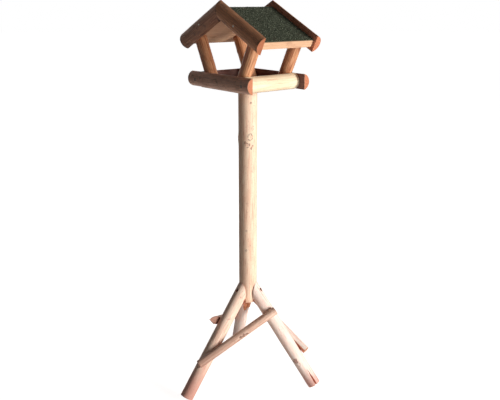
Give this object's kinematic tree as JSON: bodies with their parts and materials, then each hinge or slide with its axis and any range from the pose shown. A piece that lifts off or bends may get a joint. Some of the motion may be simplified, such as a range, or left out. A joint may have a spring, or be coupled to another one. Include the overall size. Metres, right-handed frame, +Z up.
{
  "type": "bird feeder",
  "caption": "Rustic roofed bird table: an open-sided feeding tray with a gabled felt roof, on a round timber pole with a braced tripod stand.",
  "frame": {"origin": "on the ground, under the middle of the pole", "axes": "+Z up along the pole; the ridge runs along Y with the near gable facing -Y; the right-hand eave faces +X"},
  "size_m": [0.4772, 0.4377, 1.3045],
  "materials": {
    "pole_wood": "round timber with its bark peeled off, oiled, knots",
    "leg_wood": "peeled round timber, oiled, some cracks and knots",
    "brace_wood": "thin peeled stick, darker, one side sawn",
    "board_wood": "sawn softwood board, stained reddish brown",
    "rail_wood": "half-round log, patches of bark left on",
    "post_wood": "smooth peeled round post, stained orange brown",
    "rafter_wood": "half-round log, stained dark brown, patches of bark",
    "felt": "bitumen roofing felt with a green mineral grit",
    "fixing_steel": "zinc-plated steel, dulled"
  },
  "bodies": {
    "root": {"pole": "pole_wood", "leg_front": "leg_wood", "leg_right": "leg_wood", "leg_left": "leg_wood", "brace_front": "brace_wood", "brace_right": "brace_wood", "brace_left": "brace_wood", "tray_floor": "board_wood", "gable_rail_near": "rail_wood", "gable_rail_far": "rail_wood", "eave_rail_right": "rail_wood", "eave_rail_left": "rail_wood", "post_near_right": "post_wood", "post_near_left": "post_wood", "post_far_right": "post_wood", "post_far_left": "post_wood", "rafter_near_right": "rafter_wood", "rafter_near_left": "rafter_wood", "rafter_far_right": "rafter_wood", "rafter_far_left": "rafter_wood", "roof_board_right": "board_wood", "roof_board_left": "board_wood", "roof_felt": "felt", "pole_screws": "fixing_steel", "leg_screws": "fixing_steel", "rail_screws": "fixing_steel"}
  },
  "joints": []
}
